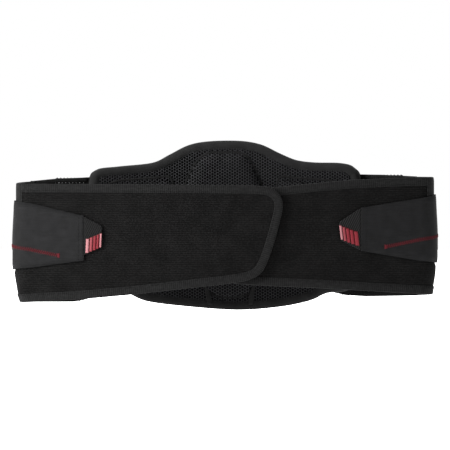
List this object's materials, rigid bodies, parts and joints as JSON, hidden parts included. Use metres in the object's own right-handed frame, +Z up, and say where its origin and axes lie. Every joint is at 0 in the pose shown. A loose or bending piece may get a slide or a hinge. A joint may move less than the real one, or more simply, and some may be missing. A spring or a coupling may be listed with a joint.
{
  "type": "lumbar support belt",
  "caption": "Closed waist belt with a tall padded back panel, overlapping elastic front wings with hook-and-loop closure, and two side straps with pull tabs.",
  "frame": {"origin": "middle of the waist opening, level with the strap ends' middle", "axes": "+Z up along the wearer's spine, front of the belt at -Y, +X to the right as seen from the front"},
  "size_m": [0.44, 0.1018, 0.1762],
  "materials": {
    "shell_fabric": "plain woven polyester, matt black",
    "foam": "closed-cell foam, hidden",
    "air_mesh": "spacer mesh with hexagonal holes, black",
    "rim_fabric": "soft brushed rim fabric, charcoal black",
    "raised_mesh": "spacer mesh moulded over foam, black",
    "plate": "flexible moulded plate, hidden",
    "stay": "flexible flat stay, hidden",
    "side_mesh": "open elastic mesh, see-through, black",
    "binding": "folded elastic binding tape, charcoal",
    "wing_fabric": "brushed loop-faced elastic with fine ribs, black",
    "lining": "smooth elastic lining, black",
    "hook": "hook tape, black",
    "strap": "smooth woven elastic, dark grey",
    "red_thread": "red embroidery thread",
    "tab_twill": "diagonal twill webbing, dark grey",
    "grip_bar": "moulded red grip bars, slightly glossy"
  },
  "bodies": {
    "back": {"back_shell": "shell_fabric", "back_foam": "foam", "back_lining": "air_mesh", "back_rim": "rim_fabric", "lumbar_pad": "raised_mesh", "side_pad_left": "raised_mesh", "side_pad_right": "raised_mesh", "lumbar_plate": "plate", "stay_outer_left": "stay", "stay_inner_left": "stay", "stay_inner_right": "stay", "stay_outer_right": "stay", "side_mesh_left": "side_mesh", "side_mesh_right": "side_mesh", "side_binding_left": "binding", "side_binding_right": "binding", "strap_anchor_left": "strap", "strap_anchor_right": "strap", "anchor_patch_left": "shell_fabric", "anchor_patch_right": "shell_fabric", "side_fold_left": "wing_fabric", "side_fold_right": "wing_fabric", "strap_fold_left": "strap", "strap_fold_right": "strap"},
    "wing_left": {"wing_panel_left": "wing_fabric", "wing_lining_left": "lining", "wing_binding_left": "binding", "flap_hook_patch": "hook"},
    "wing_right": {"wing_panel_right": "wing_fabric", "wing_lining_right": "lining", "wing_binding_right": "binding"},
    "strap_left": {"strap_left": "strap", "strap_hem_left": "strap", "strap_hook_left": "hook", "strap_stitch_left": "red_thread"},
    "strap_right": {"strap_right": "strap", "strap_hem_right": "strap", "strap_hook_right": "hook", "strap_stitch_right": "red_thread"},
    "tab_left": {"pull_tab_left": "tab_twill", "tab_bars_left": "grip_bar"},
    "tab_right": {"pull_tab_right": "tab_twill", "tab_bars_right": "grip_bar"}
  },
  "joints": [
    {"name": "wing_left_open", "type": "hinge", "parent": "back", "child": "wing_left", "pos_m": [-0.215, 0, 0], "axis": [0, 0, -1], "range_deg": [0, 140], "deforming": ["side_fold_left", "strap_fold_left"]},
    {"name": "wing_right_open", "type": "hinge", "parent": "back", "child": "wing_right", "pos_m": [0.215, 0, 0], "axis": [0, 0, 1], "range_deg": [0, 105], "deforming": ["side_fold_right", "strap_fold_right"]},
    {"name": "strap_left_peel", "type": "hinge", "parent": "wing_left", "child": "strap_left", "pos_m": [-0.202, -0.02093, 0], "axis": [0, 0, -1], "range_deg": [0, 120]},
    {"name": "strap_right_peel", "type": "hinge", "parent": "wing_right", "child": "strap_right", "pos_m": [0.202, -0.02077, 0], "axis": [0, 0, 1], "range_deg": [0, 120]},
    {"name": "tab_left_lift", "type": "hinge", "parent": "strap_left", "child": "tab_left", "pos_m": [-0.1449, -0.03736, 0], "axis": [0, 0, -1], "range_deg": [0, 90]},
    {"name": "tab_right_lift", "type": "hinge", "parent": "strap_right", "child": "tab_right", "pos_m": [0.1396, -0.03474, 0], "axis": [0, 0, 1], "range_deg": [0, 90]}
  ],
  "couplings": [
    {"joint": "wing_right_open", "follows": "wing_left_open", "ratio": 0.75}
  ]
}
